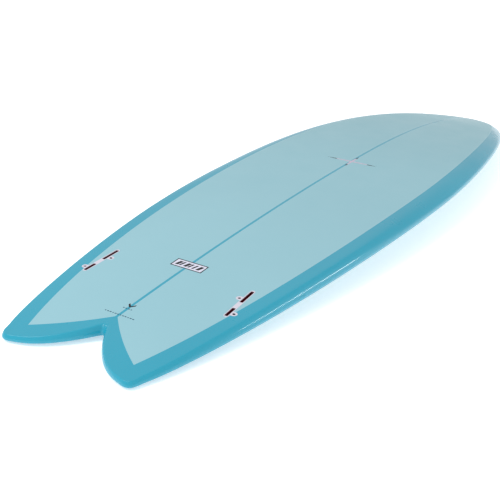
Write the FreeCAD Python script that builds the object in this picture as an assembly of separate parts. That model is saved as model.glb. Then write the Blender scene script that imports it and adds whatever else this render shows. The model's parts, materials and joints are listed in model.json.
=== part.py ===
import FreeCAD, Part
import math
import os

# Twin-fin fish surfboard, bottom up: foam core with a wooden stringer, sandwich skins, a rail band,
# fin boxes, leash and vent plugs.
# Millimetres. X runs across the board, Y towards the nose, Z up out of the bottom skin. The board lies on
# its deck side, so z = 0 is the floor under the nose tip and the two tail tips. The origin is moved to the
# middle of the box at the end.

Vec = FreeCAD.Vector

# ---- driving dimensions -------------------------------------------------------------------------
LENGTH = 1783.0            # plan length from the tail datum to the nose tip
HALF_WIDTH = 262.8         # at the wide point
WIDE_Y = 928.8             # the wide point, a little ahead of the middle
THICKNESS = 65.0           # at the middle of the board
FLAT_Y = 914.0             # where the bottom is level before it is set down on its tips
CURVE_END_Y = 1830.0       # where the nose rocker and foil reach the full values below
NOSE_ROCKER, NOSE_ROCKER_POWER = 113.0, 2.6
TAIL_ROCKER, TAIL_ROCKER_POWER = 41.0, 2.03
BELLY = 1.76               # how far the bottom falls from the centre to the rail
NOSE_FOIL, NOSE_FOIL_POWER = 0.40, 2.2      # share of the thickness lost towards the nose tip
TAIL_FOIL, TAIL_FOIL_POWER = 0.80, 1.9      # the same at the tail
SKIN = 3.0                 # sandwich skin
INLAY = 0.5                # depth of the centre lines and graphics in the skin
STRINGER = 4.0             # width of the wooden stringer
CENTRE_LINE = 5.5          # width of the teal centre line
LINE_BED = 0.1             # bed of resin left free under a centre line
DECK_LINE_Y = (340.0, 1650.0)      # the deck line stops ahead of the leash plug and short of the nose

NOSE_HANDLE = 146.2        # outline handles: how long each stretch keeps its direction
WIDE_HANDLE_FORE, WIDE_HANDLE_AFT = 361.3, 455.0
TAIL_HANDLE = (174.2, 88.0)
TAIL_CORNER = (142.5, 0.5)         # where the rail and the inner edge would meet
TIP_RAIL = (147.5, 33.6)           # where the rail starts to round into the tail tip
TIP_INNER = (116.0, 10.8)          # where the tip has rounded into the inner edge
CROTCH_Y = 107.0                   # bottom of the swallow tail
CROTCH_HALF = 5.0                  # half width of the blunt crotch
INNER_HANDLES = ((30.6, 64.0), (65.5, 20.6))

PANEL_NOSE_Y, PANEL_NOSE_HANDLE = 1764.0, 100.7    # the pale panel inside the teal rail band
PANEL_HALF_WIDTH, PANEL_WIDE_Y = 221.5, 912.4
PANEL_HANDLE_FORE, PANEL_HANDLE_AFT = 479.1, 29.9
PANEL_RAIL_HANDLE = (219.3, 352.3)
PANEL_CORNER = (114.0, 50.5)
PANEL_CROTCH_Y = 145.5
PANEL_TAIL_HANDLE = (49.7, 91.4)

# Rail profile: (distance in from the outline, share of the edge thickness below the bottom).
RAIL_SOFT = ((60, 0.0), (42, 0.015), (24, 0.085), (8, 0.28), (0, 0.47), (0, 0.69), (6, 0.89), (24, 0.98))
RAIL_HARD = ((60, 0.0), (24, 0.0), (12, 0.0), (9.5, 0.03), (3, 0.30), (0, 0.58), (6, 0.88), (24, 0.98))
RAIL_DEPTH = 39.0          # edge thickness that the distances above are drawn for
HARD_UNTIL, SOFT_FROM = 430.0, 1050.0

# Fin boxes
BOX_X, BOX_REAR_Y, BOX_LENGTH = 155.5, 234.0, 96.0
BOX_TOE = 2.4              # degrees, front end turned in
BOX_WIDTH, BOX_DEPTH = 10.0, 18.0
SLOT_WIDTH, SLOT_DEPTH = 6.6, 14.0
REAR_SLOT, BRIDGE, FRONT_SLOT = 28.0, 21.0, 41.0
LOBE_RADIUS, LOBE_DEPTH = 6.0, 13.5
SCREW_OFFSET, SCREW_TILT = 10.0, 32.0       # where a screw enters, out from the slot, and how far it leans
SCREW_RADIUS, SCREW_LENGTH = 2.5, 8.0
SCREW_CLEARANCE = 0.06
SCREW_RECESS = 1.6         # how far its head sits under the face
HEX_FLATS, HEX_DEPTH = 2.5, 2.6
PAD_THICK = 1.6            # red foam strip on each slot's floor
PROUD = 0.25               # the boxes and plugs stand this much out of the skin

# Leash plug, in the deck
LEASH_AT = (-36.0, 262.0)
LEASH_FLANGE_R, LEASH_BODY_R, LEASH_DEPTH = 15.0, 13.0, 19.0
LEASH_CUP_R, LEASH_BAR_R, LEASH_BAR_DEPTH = 11.0, 2.0, 4.6
FLANGE_THICK = 1.8

# Vent plug, in the deck
VENT_AT = (30.0, 1240.0)
VENT_FLANGE_R, VENT_BODY_R, VENT_DEPTH = 10.0, 8.0, 16.0
VENT_HEAD_R, VENT_HEAD_THICK = 6.0, 2.4
VENT_THREAD_R, VENT_THREAD_LENGTH = 4.0, 9.0
RING_R, RING_WIRE = 4.9, 0.6
RING_ROOM = 0.35

BLOCK_MARGIN, BLOCK_DEPTH = 9.0, 22.0       # high-density foam left round each box and plug

# Marks on the bottom, all generic
LABEL_AT, LABEL_SIZE, LABEL_BORDER = (1.0, 346.0), (70.0, 27.0), 2.4
STAR_AT, STAR_ACROSS, STAR_ALONG = (2.0, 980.0), 66.0, 37.0
STAR_WAIST, STAR_BLADE, STAR_TIP_SHARE = 3.0, 1.9, 0.60
CHEVRON_AT, CHEVRON_SIZE = (0.0, 183.0), (15.0, 10.0)
DASH_ROWS = ((150.0, 33.0, 12), (171.5, 11.0, 4))    # (y, half width, dashes)
DASH_HEIGHT = 2.2


# ---- heights and thickness over the plan -----------------------------------------------------------
def ahead(y):
    return max(0.0, (y - FLAT_Y) / (CURVE_END_Y - FLAT_Y))


def behind(y):
    return max(0.0, (FLAT_Y - y) / FLAT_Y)


def foil(y):
    """Thickness on the centre line."""
    lost = NOSE_FOIL * ahead(y) ** NOSE_FOIL_POWER + TAIL_FOIL * behind(y) ** TAIL_FOIL_POWER
    return THICKNESS * (1 - lost)


def edge_share(y):
    """Edge thickness as a share of the thickness on the centre line."""
    return 0.60 + 0.22 * ahead(y) ** 2 + 0.37 * behind(y) ** 2


def rocker(y):
    drop = NOSE_ROCKER * ahead(y) ** NOSE_ROCKER_POWER + TAIL_ROCKER * behind(y) ** TAIL_ROCKER_POWER
    return -drop


TAIL_LOW = rocker(14) - foil(14) * edge_share(14)
NOSE_LOW = rocker(LENGTH) - foil(LENGTH) * edge_share(LENGTH)
REST_SLOPE = (TAIL_LOW - NOSE_LOW) / (LENGTH - 14)
REST_HEIGHT = -TAIL_LOW


def bottom(x, y):
    """Height of the bottom surface once the board lies on its tips."""
    return REST_HEIGHT + REST_SLOPE * y + rocker(y) - BELLY * (x / HALF_WIDTH) ** 2


# ---- outline ----------------------------------------------------------------------------------------
def bezier(points, count, last=True):
    """Points spaced evenly in parameter along one Bezier stretch."""
    degree = len(points) - 1
    found = []
    for i in range(count + (1 if last else 0)):
        t = i / count
        weights = [math.comb(degree, k) * t ** k * (1 - t) ** (degree - k) for k in range(degree + 1)]
        found.append(tuple(sum(w * p[axis] for w, p in zip(weights, points)) for axis in (0, 1)))
    return found


NOSE_STRETCH = ((0, LENGTH), (NOSE_HANDLE, LENGTH), (HALF_WIDTH, WIDE_Y + WIDE_HANDLE_FORE), (HALF_WIDTH, WIDE_Y))
TAIL_STRETCH = ((HALF_WIDTH, WIDE_Y), (HALF_WIDTH, WIDE_Y - WIDE_HANDLE_AFT), TAIL_HANDLE, TIP_RAIL)
TIP_STRETCH = (TIP_RAIL, TAIL_CORNER, TIP_INNER)
INNER_STRETCH = (TIP_INNER, INNER_HANDLES[1], INNER_HANDLES[0], (CROTCH_HALF, CROTCH_Y - 3))


def outline():
    """(x, y, stretch) along the right half, from the nose tip round the tail to the crotch."""
    rail = bezier(NOSE_STRETCH, 18, False) + bezier(TAIL_STRETCH, 20, False)
    tip = bezier(TIP_STRETCH, 6, False)
    inner = bezier(INNER_STRETCH, 10)
    crotch = [(CROTCH_HALF * 0.6, CROTCH_Y), (0.0, CROTCH_Y)]
    named = [(x, y, "rail") for x, y in rail]
    named += [(x, y, "tip") for x, y in tip]
    named += [(x, y, "inner") for x, y in inner + crotch]
    return named


def inward(points, i):
    """Unit normal at point i that points into the board."""
    if i == 0:
        return (0.0, -1.0)
    if i == len(points) - 1:
        return (0.0, 1.0)
    (ax, ay), (bx, by) = points[i - 1][:2], points[i + 1][:2]
    run = math.hypot(bx - ax, by - ay)
    return ((by - ay) / run, -(bx - ax) / run)


def spine_y(i, points):
    """Where the section through outline point i meets the centre line."""
    x, y, stretch = points[i]
    if stretch == "rail":
        return y - 110 * ahead(y) ** 6 + 235 * behind(y) ** 3.5
    first = next(k for k, p in enumerate(points) if p[2] != "rail")
    start = points[first - 1][1] + 235 * behind(points[first - 1][1]) ** 3.5
    end = CROTCH_Y + 100
    share = (i - first + 1) / (len(points) - first)
    return start + (end - start) * share


# ---- the board's surface ----------------------------------------------------------------------------
def rail_profile(y):
    """The profile at a station: hard and tucked near the tail, soft towards the nose."""
    t = min(1.0, max(0.0, (SOFT_FROM - y) / (SOFT_FROM - HARD_UNTIL)))
    hard = t * t * (3 - 2 * t)
    return [(a + (c - a) * hard, b + (d - b) * hard) for (a, b), (c, d) in zip(RAIL_SOFT, RAIL_HARD)]


def section(i, points, depth, centre):
    """Control points of one section, from the bottom round the rail to the deck, both ends on the plane x = centre."""
    x, y, stretch = points[i]
    nx, ny = inward(points, i)
    px, py = x + nx * depth, y + ny * depth
    if i in (0, len(points) - 1):
        px = centre
    cy = spine_y(i, points)
    reach = math.hypot(px - centre, cy - py)
    dx, dy = (centre - px) / reach, (cy - py) / reach
    slant = max(0.45, dx * nx + dy * ny)
    thick_centre = foil(cy) - 2 * depth
    share = edge_share(y)
    if stretch == "inner":
        share += (1.02 - share) * (1 - x / TIP_INNER[0]) ** 1.5
    thick_edge = foil(y) * share - 2 * depth
    scale = min(1.0, (thick_edge + 2 * depth) / RAIL_DEPTH)
    rail = [(s * scale / slant, z) for s, z in rail_profile(y)]
    wide = min(rail[0][0], 0.5 * reach)

    def at(along, below):
        qx, qy = px + dx * along, py + dy * along
        return Vec(qx, qy, bottom(qx, qy) - depth - below)

    flat = [at(reach + (wide - reach) * k / 3, 0.0) for k in range(3)]
    edge = [at(min(s, wide), z * thick_edge) for s, z in rail]
    start = rail[-1][0]
    deck = []
    for k in range(1, 5):
        along = start + (reach - start) * k / 4
        crown = 1 - (1 - along / reach) ** 2
        deck.append(at(along, thick_edge + (thick_centre - thick_edge) * crown))
    return flat + edge + deck


def knots(count, degree=3):
    """Clamped, evenly spaced knots and their multiplicities for this many control points."""
    inner = count - degree - 1
    values = [k / (inner + 1) for k in range(inner + 2)]
    return values, [degree + 1] + [1] * inner + [degree + 1]


def half_skin(depth, centre):
    """Surface and flat middle face of the right half, this far inside the board's own surface."""
    points = outline()
    net = [section(i, points, depth, centre) for i in range(len(points))]
    surface = Part.BSplineSurface()
    u_knots, u_mults = knots(len(net))
    v_knots, v_mults = knots(len(net[0]))
    surface.buildFromPolesMultsKnots(net, u_mults, v_mults, u_knots, v_knots, False, False, 3, 3)
    skin = surface.toShape()
    return skin, Part.Face(Part.Wire(Part.__sortEdges__(skin.Edges)))


def half_board(depth=0.0, centre=0.0):
    """The right half as a closed solid."""
    solid = Part.Solid(Part.Shell(half_skin(depth, centre)))
    if solid.Volume < 0:
        solid.reverse()
    return solid


def mirrored(shape):
    return shape.mirror(Vec(0, 0, 0), Vec(1, 0, 0))


def board(depth=0.0):
    half = half_board(depth)
    return half.fuse(mirrored(half)).removeSplitter()


# ---- plan figures -------------------------------------------------------------------------------------
LOW, HIGH = -60.0, 220.0


def column(points):
    """Upright prism over a closed plan figure."""
    corners = [Vec(x, y, LOW) for x, y in points]
    face = Part.Face(Part.makePolygon(corners + corners[:1]))
    return face.extrude(Vec(0, 0, HIGH - LOW))


def rectangle(centre, size):
    (cx, cy), (w, h) = centre, size
    return [(cx - w / 2, cy - h / 2), (cx + w / 2, cy - h / 2), (cx + w / 2, cy + h / 2), (cx - w / 2, cy + h / 2)]


def panel_column():
    """Upright prism of the pale panel that both skins share."""
    wide = (PANEL_HALF_WIDTH, PANEL_WIDE_Y)
    nose = [(0.0, PANEL_NOSE_Y), (PANEL_NOSE_HANDLE, PANEL_NOSE_Y), (wide[0], wide[1] + PANEL_HANDLE_FORE), wide]
    rail = [wide, (wide[0], wide[1] - PANEL_HANDLE_AFT), PANEL_RAIL_HANDLE, PANEL_CORNER]
    tail = [PANEL_CORNER, PANEL_TAIL_HANDLE, (0.0, PANEL_CROTCH_Y)]
    edges = []
    for side in (1, -1):
        for stretch in (nose, rail, tail):
            curve = Part.BezierCurve()
            curve.setPoles([Vec(side * x, y, LOW) for x, y in stretch])
            edges.append(curve.toShape())
    wire = Part.Wire(Part.__sortEdges__(edges))
    return Part.Face(wire).extrude(Vec(0, 0, HIGH - LOW))


def star(reach_x, reach_y):
    """Four-pointed compass star with long side arms."""
    cx, cy = STAR_AT
    plan = []
    for (ux, uy), reach in (((1, 0), reach_x), ((0, 1), reach_y), ((-1, 0), reach_x), ((0, -1), reach_y)):
        shoulder = 0.7 * reach
        plan.append((ux * shoulder + uy * STAR_BLADE, uy * shoulder - ux * STAR_BLADE))
        plan.append((ux * reach, uy * reach))
        plan.append((ux * shoulder - uy * STAR_BLADE, uy * shoulder + ux * STAR_BLADE))
        plan.append(((ux - uy) * STAR_WAIST, (uy + ux) * STAR_WAIST))
    return column([(cx + x, cy + y) for x, y in plan])


def star_columns():
    """The pale middle of the star and its four dark tips."""
    whole = star(STAR_ACROSS, STAR_ALONG)
    size = (2 * STAR_ACROSS * STAR_TIP_SHARE, 2 * STAR_ALONG * STAR_TIP_SHARE)
    middle = column(rectangle(STAR_AT, size))
    return whole.common(middle), whole.cut(middle)


def label_columns():
    """Border, field and slanted bars of the label."""
    (cx, cy), (w, h) = LABEL_AT, LABEL_SIZE
    inner = (w - 2 * LABEL_BORDER, h - 2 * LABEL_BORDER)
    field = column(rectangle(LABEL_AT, inner))
    border = column(rectangle(LABEL_AT, LABEL_SIZE)).cut(field)
    bars = []
    bar_height, slant = h * 0.52, 4.5
    for k, bar_width in enumerate((7.4, 4.2, 7.4, 4.2, 4.2, 7.4)):
        left = cx - 29.0 + k * 9.4
        low = cy - bar_height / 2
        plan = [(left, low), (left + bar_width, low), (left + bar_width + slant, low + bar_height)]
        bars.append(column(plan + [(left + slant, low + bar_height)]))
    bars = Part.makeCompound(bars)
    return border, field.cut(bars), bars


def chevron_column():
    (cx, cy), (w, h) = CHEVRON_AT, CHEVRON_SIZE
    plan = [(-w / 2, h / 2), (0, -h / 4), (w / 2, h / 2), (w / 2, 0), (0, -h / 2 - h / 4), (-w / 2, 0)]
    return column([(cx + x, cy + y) for x, y in plan])


def dash_columns():
    dashes = []
    for y, half_width, count in DASH_ROWS:
        pitch = 2 * half_width / count
        for k in range(count):
            x = -half_width + (k + 0.5) * pitch
            dashes.append(column(rectangle((x, y), (pitch * (0.72 if k % 3 else 0.5), DASH_HEIGHT))))
    return Part.makeCompound(dashes)


# ---- seats for boxes and plugs ----------------------------------------------------------------------------
def surface_height(whole, x, y, on_bottom):
    hit = whole.common(Part.makeLine(Vec(x, y, LOW), Vec(x, y, HIGH)))
    heights = [v.Z for v in hit.Vertexes]
    return max(heights) if on_bottom else min(heights)


def seat(whole, x, y, on_bottom, toe=0.0):
    """Placement whose local Z leaves the skin and whose local Y runs towards the nose."""
    reach = 8.0
    at = [surface_height(whole, x + dx, y + dy, on_bottom) for dx, dy in ((0, 0), (reach, 0), (-reach, 0), (0, reach), (0, -reach))]
    slope_x, slope_y = (at[1] - at[2]) / (2 * reach), (at[3] - at[4]) / (2 * reach)
    out = Vec(-slope_x, -slope_y, 1.0) * (1 if on_bottom else -1)
    out.normalize()
    along = Vec(-math.sin(math.radians(toe)), math.cos(math.radians(toe)), 0)
    along = along - out * along.dot(out)
    along.normalize()
    across = along.cross(out)
    matrix = FreeCAD.Matrix(across.x, along.x, out.x, x, across.y, along.y, out.y, y, across.z, along.z, out.z, at[0], 0, 0, 0, 1)
    return FreeCAD.Placement(matrix)


def placed(shape, place):
    moved = shape.copy()
    moved.Placement = place.multiply(moved.Placement)
    return moved


def stadium(y0, y1, width, z0, z1, end_radius=None):
    """Upright slot-shaped solid along local Y."""
    r = width / 2 if end_radius is None else end_radius
    block = Part.makeBox(width, y1 - y0, z1 - z0, Vec(-width / 2, y0, z0))
    upright = [e for e in block.Edges if abs(e.tangentAt(e.FirstParameter).z) > 0.9]
    return block.makeFillet(min(r, width / 2 - 0.01), upright)


def plug(radius, z0, z1, x=0.0, y=0.0):
    return Part.makeCylinder(radius, z1 - z0, Vec(x, y, z0))


# ---- fin boxes ------------------------------------------------------------------------------------------
REAR_SLOT_Y0 = -BOX_LENGTH / 2 + 3.0
FRONT_SLOT_Y0 = REAR_SLOT_Y0 + REAR_SLOT + BRIDGE
SLOTS = ((REAR_SLOT_Y0, REAR_SLOT_Y0 + REAR_SLOT), (FRONT_SLOT_Y0, FRONT_SLOT_Y0 + FRONT_SLOT))
SCREWS = (("rear", 1, -34.0), ("front", -1, 15.0))      # the rear screw is outboard, the front one inboard


def screw_axis(side):
    """Unit vector along which a screw backs out of its lobe."""
    lean = math.radians(SCREW_TILT)
    return Vec(side * math.sin(lean), 0, math.cos(lean))


def fin_box_envelope(grow=0.0, z0=-BOX_DEPTH, z1=PROUD):
    half = BOX_LENGTH / 2 + grow
    shape = stadium(-half, half, BOX_WIDTH + 2 * grow, z0, z1)
    for _, side, y in SCREWS:
        r = LOBE_RADIUS + grow
        x = side * SCREW_OFFSET
        low = max(z0, -LOBE_DEPTH - grow)
        lobe = plug(r, low, z1, x, y)
        web = Part.makeBox(SCREW_OFFSET, 2 * r, z1 - low, Vec(min(0.0, x), y - r, low))
        shape = shape.fuse([lobe, web])
    return shape.removeSplitter()


def fin_box():
    shape = fin_box_envelope()
    for y0, y1 in SLOTS:
        shape = shape.cut(stadium(y0, y1, SLOT_WIDTH, -SLOT_DEPTH, PROUD + 1, 1.8))
    for _, side, y in SCREWS:
        out = screw_axis(side)
        mouth = Vec(side * SCREW_OFFSET, y, PROUD)
        shape = shape.cut(Part.makeCylinder(SCREW_RADIUS + SCREW_CLEARANCE, 18.0, mouth + out * 4, out * -1))
    rims = [e for e in shape.Edges if abs(e.BoundBox.ZMin - PROUD) < 0.001 and abs(e.BoundBox.ZMax - PROUD) < 0.001]
    return shape.makeChamfer(0.3, rims)


def slot_pads():
    """Red foam strips glued to the floors of the two slots."""
    return [stadium(y0, y1, SLOT_WIDTH, -SLOT_DEPTH, -SLOT_DEPTH + PAD_THICK, 1.8) for y0, y1 in SLOTS]


def grub_screw(side, y):
    """Headless screw with a hexagon socket and bevelled ends."""
    out = screw_axis(side)
    head = Vec(side * SCREW_OFFSET, y, PROUD) - out * SCREW_RECESS
    body = Part.makeCylinder(SCREW_RADIUS, SCREW_LENGTH, Vec(0, 0, -SCREW_LENGTH))
    ends = [e for e in body.Edges if abs(e.BoundBox.ZMin - e.BoundBox.ZMax) < 0.001]
    body = body.makeChamfer(0.4, ends)
    corner = HEX_FLATS / math.sqrt(3)
    corners = [Vec(corner * math.cos(math.pi * k / 3), corner * math.sin(math.pi * k / 3), -HEX_DEPTH) for k in range(7)]
    socket = Part.Face(Part.makePolygon(corners)).extrude(Vec(0, 0, HEX_DEPTH + 1))
    body = body.cut(socket)
    body.Placement = FreeCAD.Placement(head, FreeCAD.Rotation(Vec(0, 0, 1), out))
    return body


# ---- plugs in the deck ------------------------------------------------------------------------------------
def flanged(flange_r, body_r, depth, grow=0.0):
    body = plug(body_r + grow, -depth - grow, PROUD)
    return body.fuse(plug(flange_r, -FLANGE_THICK, PROUD)).removeSplitter()


def rim_chamfer(shape, size):
    rims = [e for e in shape.Edges if e.BoundBox.ZMin > PROUD - 0.001]
    return shape.makeChamfer(size, rims)


def leash_bar():
    span = 2 * LEASH_CUP_R + 2.4
    return Part.makeCylinder(LEASH_BAR_R, span, Vec(-span / 2, 0, -LEASH_BAR_DEPTH), Vec(1, 0, 0))


def leash_cup():
    """Cup with a hollow rounded at its floor."""
    hollow = plug(LEASH_CUP_R, -LEASH_DEPTH + 2.5, PROUD + 1)
    floor = [e for e in hollow.Edges if e.BoundBox.ZMax < -LEASH_DEPTH + 3]
    hollow = hollow.makeFillet(5.0, floor)
    cup = flanged(LEASH_FLANGE_R, LEASH_BODY_R, LEASH_DEPTH).cut(hollow).cut(leash_bar())
    return rim_chamfer(cup, 0.5)


def vent_body():
    floor = VENT_HEAD_THICK + 2 * RING_WIRE + RING_ROOM
    recess = plug(VENT_HEAD_R + 0.35, -floor, PROUD + 1)
    thread = plug(VENT_THREAD_R + 0.06, -VENT_DEPTH + 2.0, 0)
    return rim_chamfer(flanged(VENT_FLANGE_R, VENT_BODY_R, VENT_DEPTH).cut(recess).cut(thread), 0.4)


def vent_screw():
    """Slotted breather screw, its head just under the flange."""
    head = plug(VENT_HEAD_R, -VENT_HEAD_THICK, 0.0)
    head = head.makeChamfer(0.4, [e for e in head.Edges if e.BoundBox.ZMin > -0.001])
    shank = plug(VENT_THREAD_R, -VENT_HEAD_THICK - VENT_THREAD_LENGTH, -VENT_HEAD_THICK + 0.2)
    driver = Part.makeBox(2 * VENT_HEAD_R - 3.0, 1.4, 2.0, Vec(-VENT_HEAD_R + 1.5, -0.7, -1.3))
    return head.fuse(shank).removeSplitter().cut(driver)


def vent_ring():
    """O-ring in the gap under the screw's head."""
    return Part.makeTorus(RING_R, RING_WIRE, Vec(0, 0, -VENT_HEAD_THICK - RING_WIRE))


# ---- the whole board --------------------------------------------------------------------------------------
def two_sheets(shape):
    """The bottom and deck sheets of a cut shell, told apart by height."""
    sheets = sorted(shape.Solids, key=lambda s: s.Volume, reverse=True)[:2]
    sheets.sort(key=lambda s: s.CenterOfMass.z, reverse=True)
    return sheets


def foam_space():
    """The inside of the laminate as one solid: both foam halves and the stringer between them."""
    skin, middle = half_skin(SKIN, STRINGER / 2)
    strips = middle.OuterWire.extrude(Vec(-STRINGER, 0, 0))
    solid = Part.Solid(Part.Shell(skin.Faces + mirrored(skin).Faces + strips.Faces))
    if solid.Volume < 0:
        solid.reverse()
    return solid


def sheet_thickened(face, width):
    """A flat figure on the centre plane, made this wide across the board."""
    figure = face.copy()
    figure.translate(Vec(-width / 2, 0, 0))
    return figure.extrude(Vec(width, 0, 0))


def build():
    nodes = {}
    whole = board()
    panel = panel_column()
    core = half_board(SKIN, STRINGER / 2)
    foam = {"core_right": core, "core_left": mirrored(core)}
    nodes["stringer"] = half_skin(SKIN, STRINGER / 2)[1].extrude(Vec(-STRINGER, 0, 0))
    shell = whole.cut(foam_space())
    bottom_skin, deck_skin = two_sheets(shell.common(panel))
    rail_band = shell.cut(panel)

    # prints, let into the bottom
    star_middle, star_tips = star_columns()
    border, field, bars = label_columns()
    marks = {"star": star_middle, "star_tips": star_tips, "label_border": border, "label_field": field,
             "label_bars": bars, "tail_chevron": chevron_column(), "print_dashes": dash_columns()}
    veneer = whole.cut(board(INLAY))
    bottom_veneer, deck_veneer = two_sheets(veneer.common(panel))
    for name, columns in marks.items():
        nodes[name] = bottom_veneer.common(columns)
        bottom_skin = bottom_skin.cut(nodes[name])

    # centre lines: their grooves in the skins, then the lines that fill them
    strip = column(rectangle((0, LENGTH / 2), (CENTRE_LINE, LENGTH + 20)))
    bottom_skin = bottom_skin.cut(bottom_veneer.common(strip))
    deck_middle, deck_length = sum(DECK_LINE_Y) / 2, DECK_LINE_Y[1] - DECK_LINE_Y[0]
    deck_strip = column(rectangle((0, deck_middle), (CENTRE_LINE, deck_length)))
    deck_skin = deck_skin.cut(deck_veneer.common(deck_strip))
    profile = half_skin(0.0, 0.0)[1].cut(half_skin(INLAY - LINE_BED, 0.0)[1]).common(panel)
    lines = [sheet_thickened(face, CENTRE_LINE) for face in sorted(profile.Faces, key=lambda f: f.CenterOfMass.z)]
    nodes["deck_line"] = lines[0].common(deck_strip)
    nodes["bottom_line"] = lines[-1].cut(list(marks.values()))

    # where the fin boxes and plugs sit, and the dense foam round them
    box_place = seat(whole, BOX_X, BOX_REAR_Y + BOX_LENGTH / 2, True, BOX_TOE)
    leash_place = seat(whole, *LEASH_AT, False)
    vent_place = seat(whole, *VENT_AT, False)
    socket = placed(fin_box_envelope(0.0, -BOX_DEPTH, 5.0), box_place)
    block = placed(fin_box_envelope(BLOCK_MARGIN, -BLOCK_DEPTH, 5.0), box_place)
    leash_socket = placed(flanged(LEASH_FLANGE_R, LEASH_BODY_R, LEASH_DEPTH), leash_place)
    leash_block = placed(plug(LEASH_BODY_R + BLOCK_MARGIN, -LEASH_DEPTH - 3.0, 5.0), leash_place)
    vent_socket = placed(flanged(VENT_FLANGE_R, VENT_BODY_R, VENT_DEPTH), vent_place)
    vent_block = placed(plug(VENT_BODY_R + BLOCK_MARGIN, -VENT_DEPTH - 3.0, 5.0), vent_place)
    nodes["bottom_skin"] = bottom_skin.cut([socket, mirrored(socket)])
    nodes["rail_band"] = rail_band.cut([socket, mirrored(socket)])
    nodes["deck_skin"] = deck_skin.cut([leash_socket, vent_socket])
    blocks = {"fin_block_right": ("core_right", block, socket),
              "fin_block_left": ("core_left", mirrored(block), mirrored(socket)),
              "leash_block": ("core_left", leash_block, leash_socket),
              "vent_block": ("core_right", vent_block, vent_socket)}
    for name, (core_name, outer, hole) in blocks.items():
        nodes[name] = foam[core_name].common(outer).cut(hole)
    for core_name, outer, _ in blocks.values():
        foam[core_name] = foam[core_name].cut(outer)
    nodes.update(foam)

    # fin boxes with their screws and pads
    right = {"box": placed(fin_box(), box_place)}
    for name, pad in zip(("rear", "front"), slot_pads()):
        right["pad_" + name] = placed(pad, box_place)
    for name, side, y in SCREWS:
        right["screw_" + name] = placed(grub_screw(side, y), box_place)
    for name, shape in right.items():
        nodes["fin_" + name + "_right"] = shape
        nodes["fin_" + name + "_left"] = mirrored(shape)

    # plugs in the deck
    nodes["leash_cup"] = placed(leash_cup(), leash_place)
    nodes["leash_bar"] = placed(leash_bar(), leash_place)
    nodes["vent_body"] = placed(vent_body(), vent_place)
    nodes["vent_screw"] = placed(vent_screw(), vent_place)
    nodes["vent_ring"] = placed(vent_ring(), vent_place)
    return nodes


if __name__ == "__main__":
    os.makedirs("parts", exist_ok=True)
    box = board().optimalBoundingBox(False, False)
    middle = Vec(0, -(box.YMin + box.YMax) / 2, -box.ZMin)
    for name, shape in build().items():
        shape.translate(middle)
        shape.exportStep("parts/" + name + ".step")
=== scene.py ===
import json
import math

import bmesh
import bpy
from mathutils import Matrix, Vector

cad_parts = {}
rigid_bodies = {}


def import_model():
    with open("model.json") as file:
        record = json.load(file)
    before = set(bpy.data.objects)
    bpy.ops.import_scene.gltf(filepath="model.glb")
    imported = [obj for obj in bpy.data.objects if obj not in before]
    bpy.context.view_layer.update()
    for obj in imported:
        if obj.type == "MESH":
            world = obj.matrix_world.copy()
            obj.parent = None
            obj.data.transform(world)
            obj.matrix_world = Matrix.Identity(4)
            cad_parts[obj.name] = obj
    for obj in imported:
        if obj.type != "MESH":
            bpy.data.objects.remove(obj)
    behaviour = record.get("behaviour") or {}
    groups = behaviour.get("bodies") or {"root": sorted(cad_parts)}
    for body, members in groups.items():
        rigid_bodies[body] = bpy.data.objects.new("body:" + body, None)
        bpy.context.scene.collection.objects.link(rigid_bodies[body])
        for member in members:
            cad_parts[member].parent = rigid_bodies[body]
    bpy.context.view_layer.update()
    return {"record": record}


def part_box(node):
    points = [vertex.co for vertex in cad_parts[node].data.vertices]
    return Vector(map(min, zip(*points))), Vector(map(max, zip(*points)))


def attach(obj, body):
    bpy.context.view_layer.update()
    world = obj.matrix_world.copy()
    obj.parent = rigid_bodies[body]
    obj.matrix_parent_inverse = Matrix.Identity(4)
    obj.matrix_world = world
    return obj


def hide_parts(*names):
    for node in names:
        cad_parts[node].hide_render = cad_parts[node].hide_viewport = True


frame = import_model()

# ---- the board's measures, in millimetres from the tail, before it is set down in the frame ------
LENGTH, HALF_WIDTH, WIDE_Y = 1783.0, 262.8, 928.8
THICKNESS, FLAT_Y, CURVE_END_Y = 65.0, 914.0, 1830.0
NOSE_ROCKER, TAIL_ROCKER, BELLY = (113.0, 2.6), (41.0, 2.03), 1.76
NOSE_FOIL, TAIL_FOIL = (0.40, 2.2), (0.80, 1.9)
MIDDLE_Y, SET_DOWN = 895.9940, 1.6952
SKIN, CENTRE_LINE, DECK_LINE_Y = 3.0, 5.5, (340.0, 1650.0)
CROTCH_Y, CROTCH_HALF = 107.0, 5.0
NOSE_STRETCH = ((0, LENGTH), (146.2, LENGTH), (HALF_WIDTH, WIDE_Y + 361.3), (HALF_WIDTH, WIDE_Y))
TAIL_STRETCH = ((HALF_WIDTH, WIDE_Y), (HALF_WIDTH, WIDE_Y - 455.0), (174.2, 88.0), (147.5, 33.6))
TIP_STRETCH = ((147.5, 33.6), (142.5, 0.5), (116.0, 10.8))
INNER_STRETCH = ((116.0, 10.8), (65.5, 20.6), (30.6, 64.0), (CROTCH_HALF, CROTCH_Y - 3))
RAIL_SOFT = ((60, 0.0), (42, 0.015), (24, 0.085), (8, 0.28), (0, 0.47), (0, 0.69), (6, 0.89), (24, 0.98))
RAIL_HARD = ((60, 0.0), (24, 0.0), (12, 0.0), (9.5, 0.03), (3, 0.30), (0, 0.58), (6, 0.88), (24, 0.98))
RAIL_DEPTH, HARD_UNTIL, SOFT_FROM = 39.0, 430.0, 1050.0
PANEL_NOSE = ((0.0, 1764.0), (100.7, 1764.0), (221.5, 1391.5), (221.5, 912.4))
PANEL_RAIL = ((221.5, 912.4), (221.5, 882.5), (219.3, 352.3), (114.0, 50.5))
PANEL_TAIL = ((114.0, 50.5), (49.7, 91.4), (0.0, 145.5))


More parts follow.
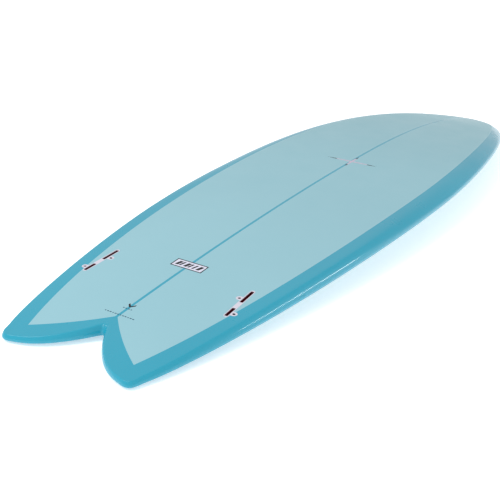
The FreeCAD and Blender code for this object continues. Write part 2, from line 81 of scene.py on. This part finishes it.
# ---- shapes of the board -------------------------------------------------------------------------
def ahead(y):
    return max(0.0, (y - FLAT_Y) / (CURVE_END_Y - FLAT_Y))


def behind(y):
    return max(0.0, (FLAT_Y - y) / FLAT_Y)


def foil(y):
    return THICKNESS * (1 - NOSE_FOIL[0] * ahead(y) ** NOSE_FOIL[1] - TAIL_FOIL[0] * behind(y) ** TAIL_FOIL[1])


def edge_share(y):
    return 0.60 + 0.22 * ahead(y) ** 2 + 0.37 * behind(y) ** 2


def rocker(y):
    return -NOSE_ROCKER[0] * ahead(y) ** NOSE_ROCKER[1] - TAIL_ROCKER[0] * behind(y) ** TAIL_ROCKER[1]


TAIL_LOW = rocker(14) - foil(14) * edge_share(14)
NOSE_LOW = rocker(LENGTH) - foil(LENGTH) * edge_share(LENGTH)
REST_SLOPE = (TAIL_LOW - NOSE_LOW) / (LENGTH - 14)


def bottom(x, y):
    return -TAIL_LOW + REST_SLOPE * y + rocker(y) - BELLY * (x / HALF_WIDTH) ** 2


def in_frame(x, y, z):
    """A board point, in millimetres, as a point of the frame, in metres."""
    return Vector((x, y - MIDDLE_Y, z + SET_DOWN)) / 1000


def bezier(points, count, last=True):
    degree = len(points) - 1
    found = []
    for i in range(count + (1 if last else 0)):
        t = i / count
        weights = [math.comb(degree, k) * t ** k * (1 - t) ** (degree - k) for k in range(degree + 1)]
        found.append(tuple(sum(w * p[axis] for w, p in zip(weights, points)) for axis in (0, 1)))
    return found


def outline():
    named = [(x, y, "rail") for x, y in bezier(NOSE_STRETCH, 18, False) + bezier(TAIL_STRETCH, 20, False)]
    named += [(x, y, "tip") for x, y in bezier(TIP_STRETCH, 6, False)]
    named += [(x, y, "inner") for x, y in bezier(INNER_STRETCH, 10)]
    return named + [(CROTCH_HALF * 0.6, CROTCH_Y, "inner"), (0.0, CROTCH_Y, "inner")]


def inward(points, i):
    if i == 0:
        return 0.0, -1.0
    if i == len(points) - 1:
        return 0.0, 1.0
    (ax, ay), (bx, by) = points[i - 1][:2], points[i + 1][:2]
    run = math.hypot(bx - ax, by - ay)
    return (by - ay) / run, -(bx - ax) / run


def tail_fan(y):
    """How far ahead of outline point y its section meets the centre line, towards the tail."""
    return 235 * behind(y) ** 3.5


def spine_y(i, points):
    """Where the section through outline point i meets the centre line."""
    x, y, stretch = points[i]
    if stretch == "rail":
        return y - 110 * ahead(y) ** 6 + tail_fan(y)
    first = next(k for k, p in enumerate(points) if p[2] != "rail")
    start = points[first - 1][1] + tail_fan(points[first - 1][1])
    return start + (CROTCH_Y + 100 - start) * (i - first + 1) / (len(points) - first)


def section(i, points):
    """Control points of one section, from the bottom centre line round the rail to the deck centre line."""
    x, y, stretch = points[i]
    nx, ny = inward(points, i)
    px = 0.0 if i in (0, len(points) - 1) else x
    cy = spine_y(i, points)
    reach = math.hypot(px, cy - y)
    dx, dy = -px / reach, (cy - y) / reach
    slant = max(0.45, dx * nx + dy * ny)
    share = edge_share(y)
    if stretch == "inner":
        share += (1.02 - share) * (1 - x / INNER_STRETCH[0][0]) ** 1.5
    edge = foil(y) * share
    scale = min(1.0, edge / RAIL_DEPTH)
    t = min(1.0, max(0.0, (SOFT_FROM - y) / (SOFT_FROM - HARD_UNTIL)))
    hard = t * t * (3 - 2 * t)
    rail = []
    for (soft_in, soft_down), (hard_in, hard_down) in zip(RAIL_SOFT, RAIL_HARD):
        rail.append(((soft_in + (hard_in - soft_in) * hard) * scale / slant,
                     soft_down + (hard_down - soft_down) * hard))
    wide = min(rail[0][0], 0.5 * reach)

    def at(along, below):
        qx, qy = px + dx * along, y + dy * along
        return in_frame(qx, qy, bottom(qx, qy) - below)

    row = [at(reach + (wide - reach) * k / 3, 0.0) for k in range(3)]
    row += [at(min(s, wide), z * edge) for s, z in rail]
    start = rail[-1][0]
    for k in range(1, 5):
        along = start + (reach - start) * k / 4
        row.append(at(along, edge + (foil(cy) - edge) * (1 - (1 - along / reach) ** 2)))
    return row


# ---- workshop helpers ----------------------------------------------------------------------------
def put_down():
    """Nothing selected and no edit mode, ready for the next operator."""
    if bpy.context.object and bpy.context.object.mode != "OBJECT":
        bpy.ops.object.mode_set(mode="OBJECT")
    bpy.ops.object.select_all(action="DESELECT")


def pick(piece):
    put_down()
    piece.select_set(True)
    bpy.context.view_layer.objects.active = piece


def copy_of(piece, name):
    pick(piece)
    bpy.ops.object.duplicate(linked=False)
    twin = bpy.context.object
    twin.name = name
    twin.data.name = name
    return twin


def apply_modifier(piece, kind, **settings):
    pick(piece)
    modifier = piece.modifiers.new(kind.title(), kind)
    for key, value in settings.items():
        setattr(modifier, key, value)
    bpy.ops.object.modifier_apply(modifier=modifier.name)


def cut_with(piece, cutter, operation):
    apply_modifier(piece, "BOOLEAN", object=cutter, operation=operation, solver="EXACT")


def discard(*pieces):
    for piece in pieces:
        bpy.data.objects.remove(piece, do_unlink=True)


def column(name, plan, low=-20.0, high=160.0):
    """Upright prism over a closed plan figure given in board millimetres, going round anticlockwise."""
    put_down()
    bpy.ops.mesh.primitive_circle_add(vertices=len(plan), radius=0.1, fill_type="NGON")
    prism = bpy.context.object
    prism.name = name
    for vertex, (x, y) in zip(prism.data.vertices, plan):
        vertex.co = in_frame(x, y, low)
    bpy.ops.object.mode_set(mode="EDIT")
    bpy.ops.mesh.select_all(action="SELECT")
    bpy.ops.mesh.extrude_region_move(TRANSFORM_OT_translate={"value": (0, 0, (high - low) / 1000)})
    bpy.ops.mesh.select_all(action="SELECT")
    bpy.ops.mesh.normals_make_consistent(inside=False)
    put_down()
    return prism


def joined(name, pieces):
    put_down()
    for piece in pieces:
        piece.select_set(True)
    bpy.context.view_layer.objects.active = pieces[0]
    bpy.ops.object.join()
    whole = bpy.context.object
    whole.name = name
    return whole


def keep_faces(piece, wanted):
    """Delete the faces for which wanted(face) is false."""
    pick(piece)
    bpy.ops.object.mode_set(mode="EDIT")
    bpy.ops.mesh.select_mode(type="FACE")
    mesh = bmesh.from_edit_mesh(piece.data)
    for face in mesh.faces:
        face.select_set(not wanted(face))
    bmesh.update_edit_mesh(piece.data)
    bpy.ops.mesh.delete(type="FACE")
    put_down()


def smooth(piece, angle=32):
    pick(piece)
    bpy.ops.object.shade_smooth_by_angle(angle=math.radians(angle))
    put_down()


# ---- the whole board as one closed skin ----------------------------------------------------------
def board_skin():
    points = outline()
    net = [section(i, points) for i in range(len(points))]
    data = bpy.data.curves.new("board_skin", "SURFACE")
    data.dimensions = "3D"
    for row in net:
        spline = data.splines.new("NURBS")
        spline.points.add(len(row) - 1)
        for point, place in zip(spline.points, row):
            point.co = (*place, 1.0)
    surface = bpy.data.objects.new("board_skin", data)
    bpy.context.collection.objects.link(surface)
    pick(surface)
    bpy.ops.object.mode_set(mode="EDIT")
    bpy.ops.curve.select_all(action="SELECT")
    bpy.ops.curve.make_segment()
    bpy.ops.object.mode_set(mode="OBJECT")
    patch = surface.data.splines[0]
    for k, point in enumerate(patch.points):
        point.co = (*net[k % len(net)][k // len(net)], 1.0)
    patch.order_u = patch.order_v = 4
    patch.use_endpoint_u = patch.use_endpoint_v = True
    patch.resolution_u, patch.resolution_v = 5, 6
    pick(surface)
    bpy.ops.object.convert(target="MESH")
    skin = bpy.context.object
    apply_modifier(skin, "MIRROR", use_axis=(True, False, False), use_clip=True, merge_threshold=0.00002)
    bpy.ops.object.mode_set(mode="EDIT")
    bpy.ops.mesh.select_all(action="SELECT")
    bpy.ops.mesh.remove_doubles(threshold=0.00002)
    bpy.ops.mesh.normals_make_consistent(inside=False)
    put_down()
    return skin


def rectangle(x, y, across, along):
    return [(x - across / 2, y - along / 2), (x + across / 2, y - along / 2),
            (x + across / 2, y + along / 2), (x - across / 2, y + along / 2)]


def panel_column():
    right = bezier(PANEL_NOSE, 70, False)[1:] + bezier(PANEL_RAIL, 80, False) + bezier(PANEL_TAIL, 14)
    left = [(-x, y) for x, y in reversed(right[:-1])]
    return column("panel_column", ([(0.0, PANEL_NOSE[0][1])] + right + left)[::-1])


def box_column(side):
    """Prism over one fin box's outline, turned in by its toe."""
    toe = math.radians(BOX_TOE)
    plan = []
    for x, y in BOX_PLAN:
        turned = (x * math.cos(toe) - y * math.sin(toe), x * math.sin(toe) + y * math.cos(toe))
        plan.append((side * (BOX_CENTRE[0] + turned[0]), BOX_CENTRE[1] + turned[1]))
    return column("box_column", plan if side > 0 else plan[::-1])


def arc(cx, cy, r, start, end, count):
    angles = [math.radians(start + (end - start) * k / count) for k in range(count + 1)]
    return [(cx + r * math.cos(a), cy + r * math.sin(a)) for a in angles]


BOX_CENTRE, BOX_TOE = (155.5, 282.0), 2.4
BOX_PLAN = (arc(0, 43, 5, 0, 180, 12)
            + [(-5, 21), (-10, 21)] + arc(-10, 15, 6, 90, 270, 14)[1:-1] + [(-10, 9), (-5, 9)]
            + arc(0, -43, 5, 180, 360, 12)
            + [(5, -40), (10, -40)] + arc(10, -34, 6, -90, 90, 14)[1:-1] + [(10, -28), (5, -28)])
LABEL = (1.0, 346.0, 70.0, 27.0)
STAR_AT, STAR_ACROSS, STAR_ALONG, STAR_WAIST, STAR_BLADE = (2.0, 980.0), 66.0, 37.0, 3.0, 1.9
CHEVRON = (0.0, 183.0, 15.0, 10.0)
DASH_ROWS, DASH_LENGTH = ((150.0, 33.0, 12), (171.5, 11.0, 4)), 2.2


def star_plan():
    plan = []
    arms = (((1, 0), STAR_ACROSS), ((0, 1), STAR_ALONG), ((-1, 0), STAR_ACROSS), ((0, -1), STAR_ALONG))
    for (ux, uy), reach in arms:
        shoulder = 0.7 * reach
        plan.append((ux * shoulder + uy * STAR_BLADE, uy * shoulder - ux * STAR_BLADE))
        plan.append((ux * reach, uy * reach))
        plan.append((ux * shoulder - uy * STAR_BLADE, uy * shoulder + ux * STAR_BLADE))
        plan.append(((ux - uy) * STAR_WAIST, (uy + ux) * STAR_WAIST))
    return [(STAR_AT[0] + x, STAR_AT[1] + y) for x, y in plan]


def chevron_plan():
    cx, cy, w, h = CHEVRON
    plan = [(-w / 2, h / 2), (-w / 2, 0), (0, -h * 0.75), (w / 2, 0), (w / 2, h / 2), (0, -h / 4)]
    return [(cx + x, cy + y) for x, y in plan]


def mark_columns():
    """One cutter for every print that is let into the bottom."""
    cutters = [column("cutter", plan) for plan in (rectangle(*LABEL), star_plan(), chevron_plan())]
    for y, half_width, count in DASH_ROWS:
        pitch = 2 * half_width / count
        for k in range(count):
            x = -half_width + (k + 0.5) * pitch
            cutters.append(column("cutter", rectangle(x, y, pitch * (0.72 if k % 3 else 0.5), DASH_LENGTH)))
    return joined("mark_columns", cutters)


def steep(face):
    return abs(face.normal.z) < 0.05


# ---- skins, rail band and centre lines -----------------------------------------------------------
whole = board_skin()
panel = panel_column()

rail_band = copy_of(whole, "rail_band_skin")
cut_with(rail_band, panel, "DIFFERENCE")
panels = copy_of(whole, "panels")
cut_with(panels, panel, "INTERSECT")
discard(whole)

# the cut leaves upright walls where the panel's edge was: they go, and each sheet gets its real thickness
panel_edge = [v.co.copy() for v in panel.data.vertices]


def on_cut(face):
    """True for an upright wall of the cut: its middle lies close to the panel's edge."""
    if not steep(face):
        return False
    middle = face.calc_center_median()
    nearest = min((middle.x - c.x) ** 2 + (middle.y - c.y) ** 2 for c in panel_edge)
    return nearest < 0.012 ** 2


keep_faces(rail_band, lambda face: not on_cut(face))
keep_faces(panels, lambda face: not on_cut(face))
discard(panel)
bottom_skin = panels
deck_skin = copy_of(panels, "deck_skin_sheet")
bottom_skin.name = "bottom_skin_sheet"
keep_faces(bottom_skin, lambda face: face.normal.z > 0)
keep_faces(deck_skin, lambda face: face.normal.z < 0)
for sheet in (rail_band, bottom_skin, deck_skin):
    apply_modifier(sheet, "SOLIDIFY", thickness=SKIN / 1000, offset=-1,
                   use_even_offset=True, use_quality_normals=True)

strip = column("strip", rectangle(0.0, LENGTH / 2, CENTRE_LINE, LENGTH))
marks = mark_columns()
bottom_line = copy_of(bottom_skin, "bottom_centre_line")
cut_with(bottom_line, strip, "INTERSECT")
cut_with(bottom_line, marks, "DIFFERENCE")
deck_strip = column("deck_strip", rectangle(0.0, sum(DECK_LINE_Y) / 2,
                                            CENTRE_LINE, DECK_LINE_Y[1] - DECK_LINE_Y[0]))
deck_line = copy_of(deck_skin, "deck_centre_line")
cut_with(deck_line, deck_strip, "INTERSECT")
for cutter in (strip, marks, box_column(1), box_column(-1)):
    cut_with(bottom_skin, cutter, "DIFFERENCE")
    if cutter.name.startswith("box_column"):
        cut_with(rail_band, cutter, "DIFFERENCE")
cut_with(deck_skin, deck_strip, "DIFFERENCE")
for node in ("leash_cup", "vent_body"):
    low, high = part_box(node)
    put_down()
    bpy.ops.mesh.primitive_cylinder_add(vertices=96, radius=(high[0] - low[0]) / 2, depth=0.06,
                                        location=((low[0] + high[0]) / 2, (low[1] + high[1]) / 2, high[2]))
    cut_with(deck_skin, bpy.context.object, "DIFFERENCE")

for piece, node, slot in ((rail_band, "rail_band", "teal_rail"), (bottom_skin, "bottom_skin", "pale_skin"),
                          (deck_skin, "deck_skin", "pale_skin"), (bottom_line, "bottom_line", "teal_rail"),
                          (deck_line, "deck_line", "teal_rail")):
    smooth(piece)
    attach(piece, "board")
    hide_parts(node)
CUTTERS = ("strip", "deck_strip", "mark_columns", "box_column", "Cylinder", "cutter")
for leftover in [o for o in bpy.data.objects if o.name.split(".")[0] in CUTTERS]:
    discard(leftover)


# ---- finishes ------------------------------------------------------------------------------------
def linear(red, green, blue):
    """Colour values from 0 to 255, as the shader wants them."""
    shares = [v / 255 for v in (red, green, blue)]
    return tuple(s / 12.92 if s <= 0.04 else ((s + 0.055) / 1.055) ** 2.4 for s in shares) + (1.0,)


class Finish:
    """A material with the board's own coordinates, in metres."""

    def __init__(self, name):
        self.material = bpy.data.materials.new(name)
        self.material.use_nodes = True
        self.tree = self.material.node_tree
        self.shader = self.tree.nodes["Principled BSDF"]
        self.place = self.node("ShaderNodeTexCoord").outputs["Object"]

    def node(self, kind, **settings):
        made = self.tree.nodes.new(kind)
        for key, value in settings.items():
            setattr(made, key, value)
        return made

    def link(self, source, target):
        self.tree.links.new(source, target)

    def set(self, **values):
        for key, value in values.items():
            self.shader.inputs[key.replace("_", " ")].default_value = value

    def noise(self, scale, detail=4.0, roughness=0.55, stretch=None):
        noise = self.node("ShaderNodeTexNoise")
        noise.inputs["Scale"].default_value = scale
        noise.inputs["Detail"].default_value = detail
        noise.inputs["Roughness"].default_value = roughness
        place = self.place
        if stretch:
            mapping = self.node("ShaderNodeMapping")
            mapping.inputs["Scale"].default_value = stretch
            self.link(place, mapping.inputs["Vector"])
            place = mapping.outputs["Vector"]
        self.link(place, noise.inputs["Vector"])
        return noise.outputs["Fac"]

    def spread(self, value, low, high, out_low, out_high):
        ramp = self.node("ShaderNodeMapRange")
        for name, number in zip(("From Min", "From Max", "To Min", "To Max"), (low, high, out_low, out_high)):
            ramp.inputs[name].default_value = number
        self.link(value, ramp.inputs["Value"])
        return ramp.outputs["Result"]

    def between(self, factor, first, second):
        mix = self.node("ShaderNodeMix", data_type="RGBA")
        self.link(factor, mix.inputs["Factor"])
        for socket, colour in zip((mix.inputs[6], mix.inputs[7]), (first, second)):
            if isinstance(colour, tuple):
                socket.default_value = colour
            else:
                self.link(colour, socket)
        return mix.outputs[2]

    def colour(self, value):
        self.link(value, self.shader.inputs["Base Color"])

    def rough(self, value):
        self.link(value, self.shader.inputs["Roughness"])

    def relief(self, value, height, strength=1.0, under=None):
        bump = self.node("ShaderNodeBump")
        bump.inputs["Strength"].default_value = strength
        bump.inputs["Distance"].default_value = height
        self.link(value, bump.inputs["Height"])
        if under:
            self.link(under, bump.inputs["Normal"])
        self.link(bump.outputs["Normal"], self.shader.inputs["Normal"])
        return bump.outputs["Normal"]

    def weave(self, thread):
        """Plain glass cloth: two crossing sets of threads this far apart, in metres."""
        waves = []
        for direction in ("X", "Y"):
            wave = self.node("ShaderNodeTexWave", bands_direction=direction)
            wave.inputs["Scale"].default_value = 0.314 / thread
            wave.inputs["Distortion"].default_value = 0.6
            wave.inputs["Detail"].default_value = 1.0
            self.link(self.place, wave.inputs["Vector"])
            waves.append(wave.outputs["Fac"])
        cross = self.node("ShaderNodeMath", operation="MULTIPLY")
        self.link(waves[0], cross.inputs[0])
        self.link(waves[1], cross.inputs[1])
        return cross.outputs["Value"]


def lacquer(name, light, deep, gloss, coat):
    """Sprayed colour over glass cloth under a polished clear coat."""
    finish = Finish(name)
    drift = finish.spread(finish.noise(3.0, 3.0), 0.3, 0.7, 0.0, 1.0)
    speck = finish.spread(finish.noise(900.0, 2.0), 0.35, 0.65, 0.0, 1.0)
    body = finish.between(drift, light, deep)
    darker, lighter = (tuple(min(1, v * share) for v in light[:3]) + (1,) for share in (0.985, 1.015))
    grain = finish.between(speck, darker, lighter)
    mix = finish.node("ShaderNodeMix", data_type="RGBA")
    mix.inputs["Factor"].default_value = 0.35
    finish.link(body, mix.inputs[6])
    finish.link(grain, mix.inputs[7])
    finish.colour(mix.outputs[2])
    finish.rough(finish.spread(finish.noise(14.0, 5.0), 0.3, 0.7, gloss, gloss + 0.10))
    cloth = finish.relief(finish.weave(0.0011), 0.000012, 0.5)
    finish.relief(finish.noise(22.0, 3.0), 0.00006, 0.3, cloth)
    finish.set(Coat_Weight=coat, Coat_Roughness=0.06, Specular_IOR_Level=0.2)
    return finish.material


def moulded(name, light, deep, gloss, height=0.00003):
    """Injection-moulded plastic with a fine spark texture."""
    finish = Finish(name)
    finish.colour(finish.between(finish.noise(160.0, 4.0), light, deep))
    finish.rough(finish.spread(finish.noise(700.0, 3.0), 0.3, 0.7, gloss, gloss + 0.14))
    finish.relief(finish.noise(1800.0, 2.0), height, 0.5)
    return finish.material


def box_moulding(name, light, deep, slot_shade_colour):
    """White fin box whose slots are painted dark red from just under the rim down, as shade inside the slots.
    """
    finish = Finish(name)
    seat_x, seat_y = BOX_CENTRE
    slope_x = (bottom(seat_x + 8, seat_y) - bottom(seat_x - 8, seat_y)) / 16
    slope_y = (bottom(seat_x, seat_y + 8) - bottom(seat_x, seat_y - 8)) / 16
    out = Vector((-slope_x, -slope_y, 1.0)).normalized()
    face = out.dot(in_frame(seat_x, seat_y, bottom(seat_x, seat_y)))
    split = finish.node("ShaderNodeSeparateXYZ")
    finish.link(finish.place, split.inputs["Vector"])
    side = finish.node("ShaderNodeMath", operation="ABSOLUTE")
    finish.link(split.outputs["X"], side.inputs[0])
    folded = finish.node("ShaderNodeCombineXYZ")
    finish.link(side.outputs["Value"], folded.inputs["X"])
    finish.link(split.outputs["Y"], folded.inputs["Y"])
    finish.link(split.outputs["Z"], folded.inputs["Z"])
    height = finish.node("ShaderNodeVectorMath", operation="DOT_PRODUCT")
    height.inputs[1].default_value = out
    finish.link(folded.outputs["Vector"], height.inputs[0])
    # painted shade: everything deeper than about a millimetre under the bottom's face turns dark red
    painted_slot_shade = finish.spread(height.outputs["Value"], face - 0.0012, face - 0.0007, 1.0, 0.0)
    plastic = finish.between(finish.noise(160.0, 4.0), light, deep)
    finish.colour(finish.between(painted_slot_shade, plastic, slot_shade_colour))
    finish.rough(finish.spread(finish.noise(700.0, 3.0), 0.3, 0.7, 0.28, 0.42))
    finish.relief(finish.noise(1800.0, 2.0), 0.00003, 0.5)
    return finish.material


def foam(name, light, deep, bead):
    """Closed-cell foam: rounded beads with darker joints."""
    finish = Finish(name)
    cells = finish.node("ShaderNodeTexVoronoi", feature="DISTANCE_TO_EDGE")
    cells.inputs["Scale"].default_value = 1 / bead
    finish.link(finish.place, cells.inputs["Vector"])
    joint = finish.spread(cells.outputs["Distance"], 0.0, 0.12, 0.0, 1.0)
    finish.colour(finish.between(joint, deep, light))
    finish.relief(joint, bead * 0.12, 0.8)
    finish.rough(finish.spread(finish.noise(300.0), 0.3, 0.7, 0.75, 0.92))
    return finish.material


def wood(name, light, dark):
    """Straight-grained strip, its grain along the board."""
    finish = Finish(name)
    grain = finish.noise(60.0, 8.0, 0.65, (6.0, 0.12, 6.0))
    finish.colour(finish.between(finish.spread(grain, 0.35, 0.65, 0.0, 1.0), light, dark))
    finish.relief(grain, 0.0002, 0.6)
    finish.rough(finish.spread(grain, 0.3, 0.7, 0.50, 0.68))
    return finish.material


def steel(name, light, deep, gloss):
    finish = Finish(name)
    brushed = finish.noise(500.0, 5.0, 0.6, (1.0, 14.0, 1.0))
    finish.colour(finish.between(brushed, light, deep))
    finish.rough(finish.spread(brushed, 0.3, 0.7, gloss, gloss + 0.15))
    finish.relief(brushed, 0.00002, 0.5)
    finish.set(Metallic=1.0)
    return finish.material


def print_ink(name, light, deep):
    """Printed film under the clear coat."""
    finish = Finish(name)
    finish.colour(finish.between(finish.spread(finish.noise(420.0, 5.0), 0.35, 0.65, 0.0, 1.0), light, deep))
    finish.rough(finish.spread(finish.noise(60.0), 0.3, 0.7, 0.20, 0.32))
    finish.relief(finish.weave(0.0011), 0.000012, 0.4)
    finish.set(Coat_Weight=0.1, Coat_Roughness=0.06, Specular_IOR_Level=0.2)
    return finish.material


pale = lacquer("pale_blue_lacquer", linear(142, 186, 197), linear(138, 182, 193), 0.36, 0.06)
teal = lacquer("teal_lacquer", linear(36, 151, 176), linear(31, 145, 170), 0.26, 0.45)
finishes = {
    "pale_skin": pale, "teal_rail": teal,
    "core_foam": foam("white_bead_foam", linear(240, 240, 234), linear(205, 204, 196), 0.004),
    "dense_foam": foam("cream_dense_foam", linear(228, 220, 190), linear(196, 186, 150), 0.0015),
    "stringer_wood": wood("poplar_strip", linear(206, 176, 128), linear(168, 130, 84)),
    # the last colour is dark red, painted as shade inside the fin box slots
    "box_plastic": box_moulding("white_box_plastic", linear(206, 202, 214), linear(196, 192, 206),
                                linear(96, 22, 36)),
    "red_foam": foam("red_pad_foam", linear(186, 22, 32), linear(120, 10, 18), 0.0012),
    "screw_steel": steel("dark_screw_steel", linear(56, 44, 56), linear(34, 26, 34), 0.30),
    "pin_steel": steel("bright_pin_steel", linear(196, 197, 200), linear(160, 161, 165), 0.20),
    "cup_plastic": moulded("white_cup_plastic", linear(234, 234, 236), linear(220, 221, 225), 0.30),
    "vent_plastic": moulded("white_vent_plastic", linear(232, 232, 233), linear(218, 219, 222), 0.30),
    "vent_cap": moulded("black_vent_plastic", linear(28, 28, 31), linear(18, 18, 20), 0.38),
    "seal_rubber": moulded("black_seal_rubber", linear(22, 22, 22), linear(14, 14, 14), 0.60),
    "print_white": print_ink("white_print", linear(214, 214, 230), linear(204, 205, 222)),
    "print_dark": print_ink("navy_print", linear(4, 6, 16), linear(10, 12, 24)),
    "print_rose": print_ink("rose_print", linear(190, 178, 196), linear(180, 168, 188)),
    "print_grey": print_ink("grey_print", linear(20, 60, 84), linear(34, 74, 98)),
}

# ---- every node and piece gets its finish --------------------------------------------------------
for row in frame["record"]["subparts"]:
    node = bpy.data.objects.get(row["node"])
    if node is not None:
        node.data.materials.clear()
        node.data.materials.append(finishes[row["material_slot"]])
for piece, material in ((rail_band, teal), (bottom_skin, pale), (deck_skin, pale),
                        (bottom_line, teal), (deck_line, teal)):
    piece.data.materials.clear()
    piece.data.materials.append(material)


# ---- studio --------------------------------------------------------------------------------------
put_down()
bpy.ops.mesh.primitive_plane_add(size=60.0, location=(0, 0, -0.0005))
floor = bpy.context.object
floor.name = "studio_floor"
paper = Finish("white_floor_paper")
paper.colour(paper.between(paper.noise(1.5), linear(250, 250, 250), linear(247, 247, 248)))
paper.set(Roughness=0.9, Specular_IOR_Level=0.1, Emission_Color=(1.0, 1.0, 1.0, 1.0), Emission_Strength=0.45)
floor.data.materials.append(paper.material)

world = bpy.data.worlds.new("studio")
bpy.context.scene.world = world
world.use_nodes = True
world.node_tree.nodes["Background"].inputs["Color"].default_value = (1.0, 1.0, 1.0, 1.0)
world.node_tree.nodes["Background"].inputs["Strength"].default_value = 0.80


def softbox(name, place, aim, size, watts):
    put_down()
    bpy.ops.object.light_add(type="AREA", location=place)
    lamp = bpy.context.object
    lamp.name = name
    lamp.data.shape = "RECTANGLE"
    lamp.data.size, lamp.data.size_y = size
    lamp.data.energy = watts
    lamp.visible_camera = False
    lamp.rotation_euler = (Vector(aim) - Vector(place)).to_track_quat("-Z", "Y").to_euler()
    return lamp


softbox("tail_overhead", (-0.5, -1.7, 1.9), (0.0, -0.5, 0.0), (1.4, 1.4), 26)
softbox("rail_strip", (1.88, 0.60, 0.24), (0.23, -0.45, 0.05), (0.9, 0.05), 5)

# ---- camera --------------------------------------------------------------------------------------
right = Vector((0.83565468, 0.54854402, 0.02794143))
up = Vector((-0.23384702, 0.30929125, 0.92176705))
away = right.cross(up)
put_down()
bpy.ops.object.camera_add(location=(0.94931, -1.82710, 0.75519))
camera = bpy.context.object
camera.name = "view_camera"
camera.rotation_euler = Matrix((right, up, away)).transposed().to_euler()
camera.data.lens, camera.data.sensor_width = 67.902, 36.0
camera.data.clip_start = 0.05
bpy.context.scene.camera = camera
bpy.context.scene.view_settings.view_transform = "Standard"
